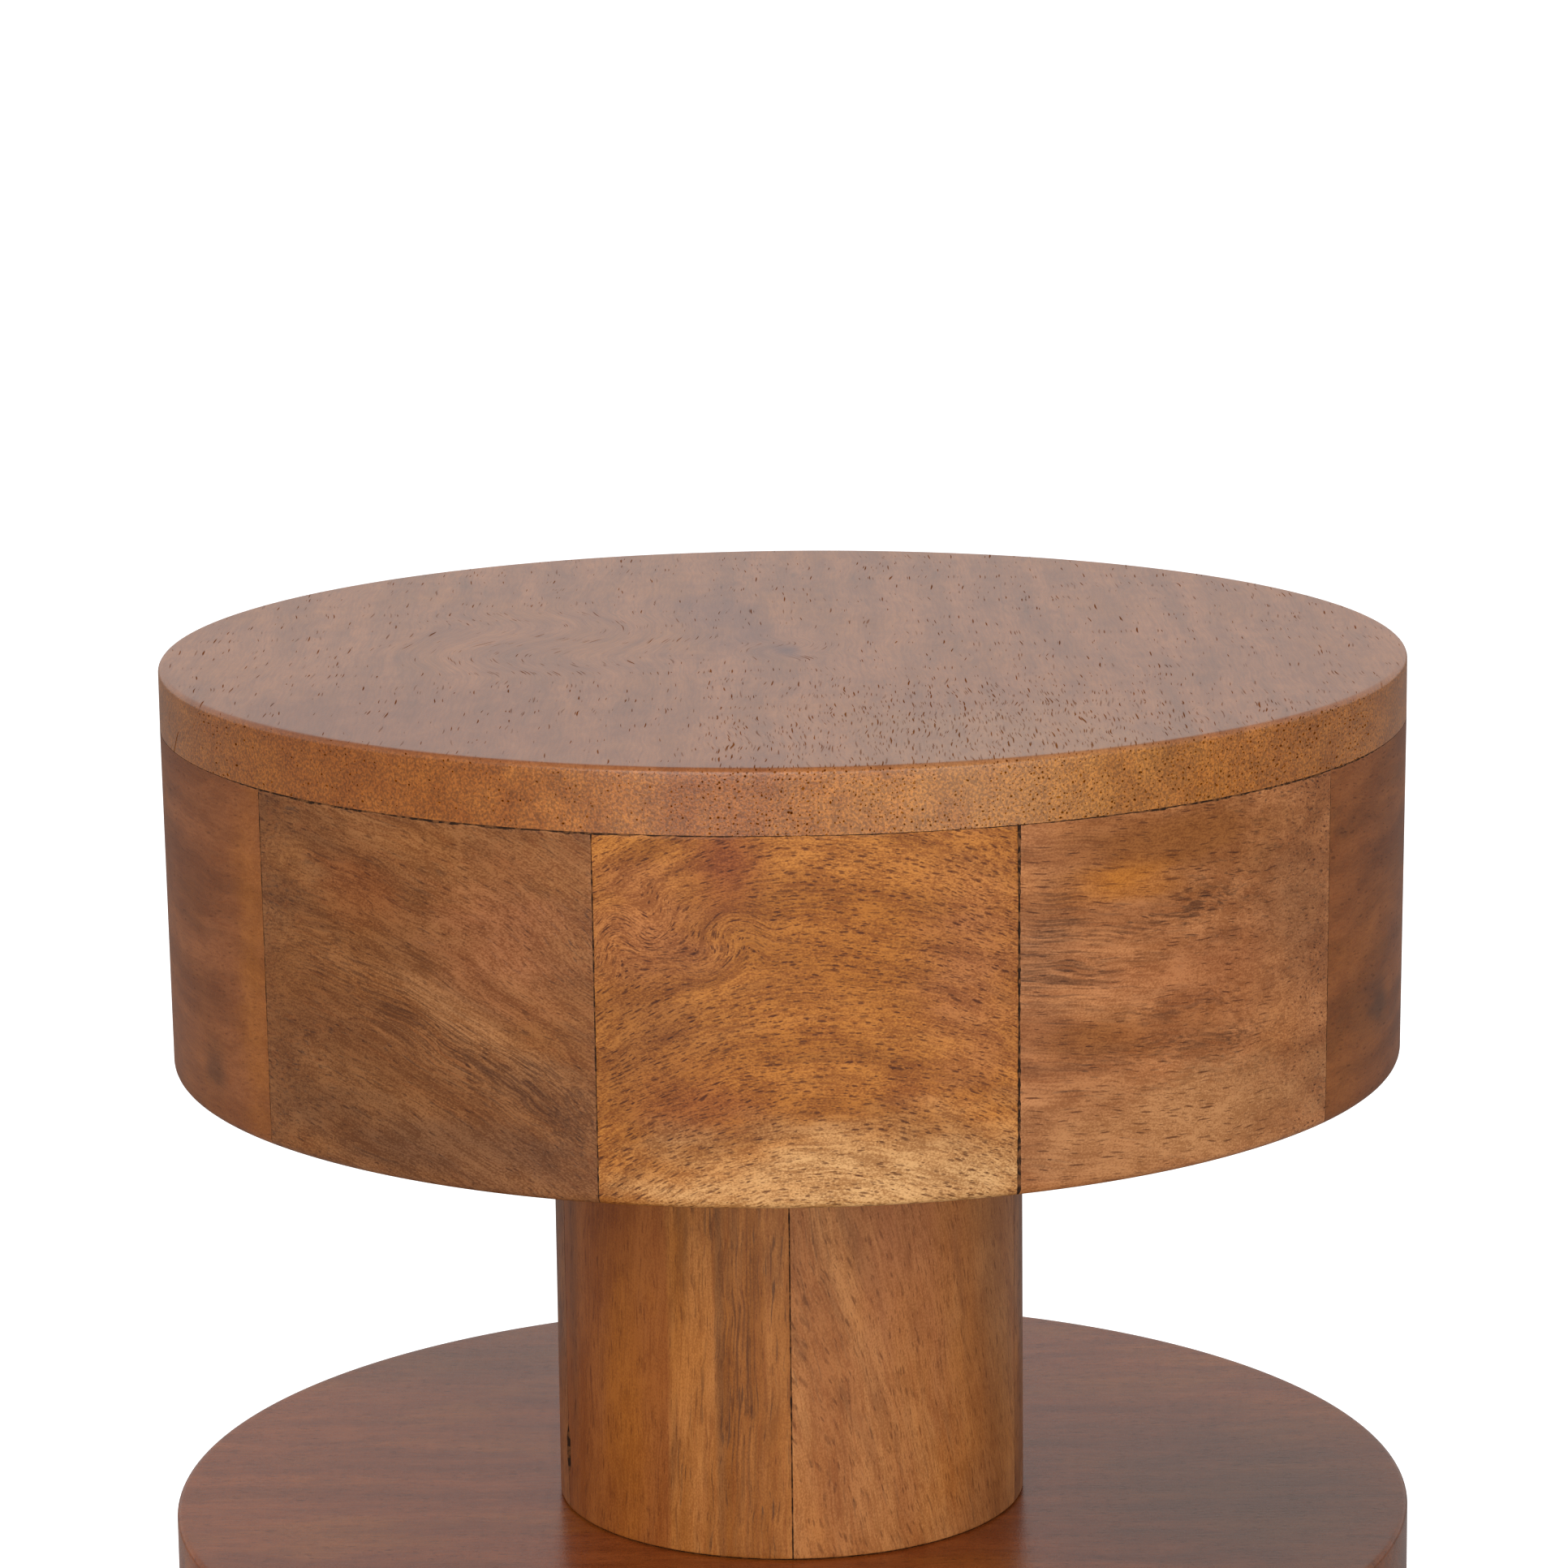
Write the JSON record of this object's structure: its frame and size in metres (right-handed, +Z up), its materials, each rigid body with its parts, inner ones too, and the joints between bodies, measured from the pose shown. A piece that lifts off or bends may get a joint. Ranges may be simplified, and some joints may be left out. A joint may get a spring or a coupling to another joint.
{
  "type": "drink table",
  "caption": "Slim round wooden drink table: stacked drums of glued segments with flat board caps, joined by narrower staved columns on one hidden tie rod.",
  "frame": {"origin": "on the floor, under the middle of the table", "axes": "+Z up along the columns; the front faces -Y, with +X to its right"},
  "size_m": [0.31, 0.31, 0.533],
  "materials": {
    "cap_wood": "figured brown hardwood under satin lacquer",
    "ring_wood": "figured golden brown hardwood under satin lacquer, dark filled joints",
    "column_wood": "hardwood with upright grain under satin lacquer",
    "panel_plywood": "plywood, thinly lacquered",
    "block_wood": "sawn softwood, unfinished",
    "dowel_wood": "plain beech dowel",
    "zinc_steel": "zinc-plated steel",
    "pad_felt": "dark brown felt"
  },
  "bodies": {
    "root": {"base_cap_plank_left": "cap_wood", "base_cap_plank_right": "cap_wood", "base_foot_panel": "panel_plywood", "base_panel_screws": "zinc_steel", "base_ring_segment_01": "ring_wood", "base_ring_segment_02": "ring_wood", "base_ring_segment_03": "ring_wood", "base_ring_segment_04": "ring_wood", "base_ring_segment_05": "ring_wood", "base_ring_segment_06": "ring_wood", "base_ring_segment_07": "ring_wood", "base_ring_segment_08": "ring_wood", "base_ring_segment_09": "ring_wood", "base_ring_segment_10": "ring_wood", "base_spacer_block": "block_wood", "felt_pads": "pad_felt", "locating_dowels": "dowel_wood", "lower_column_stave_1": "column_wood", "lower_column_stave_2": "column_wood", "lower_column_stave_3": "column_wood", "lower_column_stave_4": "column_wood", "lower_column_stave_5": "column_wood", "middle_cap_plank_left": "cap_wood", "middle_cap_plank_right": "cap_wood", "middle_foot_panel": "panel_plywood", "middle_ring_segment_01": "ring_wood", "middle_ring_segment_02": "ring_wood", "middle_ring_segment_03": "ring_wood", "middle_ring_segment_04": "ring_wood", "middle_ring_segment_05": "ring_wood", "middle_ring_segment_06": "ring_wood", "middle_ring_segment_07": "ring_wood", "middle_ring_segment_08": "ring_wood", "middle_ring_segment_09": "ring_wood", "middle_ring_segment_10": "ring_wood", "middle_spacer_block": "block_wood", "rod_nut": "zinc_steel", "rod_washer": "zinc_steel", "threaded_insert": "zinc_steel", "tie_rod": "zinc_steel", "top_cap_plank_left": "cap_wood", "top_cap_plank_right": "cap_wood", "top_fixing_block": "block_wood", "top_foot_panel": "panel_plywood", "top_ring_segment_01": "ring_wood", "top_ring_segment_02": "ring_wood", "top_ring_segment_03": "ring_wood", "top_ring_segment_04": "ring_wood", "top_ring_segment_05": "ring_wood", "top_ring_segment_06": "ring_wood", "top_ring_segment_07": "ring_wood", "top_ring_segment_08": "ring_wood", "top_ring_segment_09": "ring_wood", "top_ring_segment_10": "ring_wood", "upper_column_stave_1": "column_wood", "upper_column_stave_2": "column_wood", "upper_column_stave_3": "column_wood", "upper_column_stave_4": "column_wood", "upper_column_stave_5": "column_wood"}
  },
  "joints": []
}
